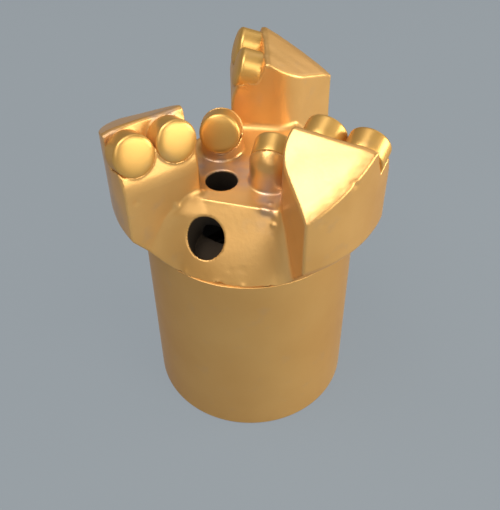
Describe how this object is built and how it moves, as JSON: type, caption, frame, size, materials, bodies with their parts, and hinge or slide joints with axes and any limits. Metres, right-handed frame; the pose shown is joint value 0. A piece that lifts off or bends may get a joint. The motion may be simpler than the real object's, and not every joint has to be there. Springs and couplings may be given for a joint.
{
  "type": "three-wing drill bit",
  "caption": "Concave drill bit: a cast crown with three wings and round cutters on a turned steel shank with a screwed rod socket.",
  "frame": {"origin": "on the bit's axis, at the foot of the shank", "axes": "+Z along the axis towards the cutting face; +Y within two degrees of the first wing's row of cutters"},
  "size_m": [0.0898, 0.0909, 0.1257],
  "materials": {
    "painted_steel": "satin gold paint on turned steel",
    "painted_casting": "satin gold paint on a cast surface",
    "painted_cutter": "satin gold paint on ground discs"
  },
  "bodies": {
    "root": {"shank": "painted_steel", "crown": "painted_casting", "outer_cutter_1": "painted_cutter", "outer_cutter_2": "painted_cutter", "outer_cutter_3": "painted_cutter", "mid_cutter_1": "painted_cutter", "mid_cutter_2": "painted_cutter", "mid_cutter_3": "painted_cutter", "inner_cutter_1": "painted_cutter", "inner_cutter_2": "painted_cutter"}
  },
  "joints": []
}
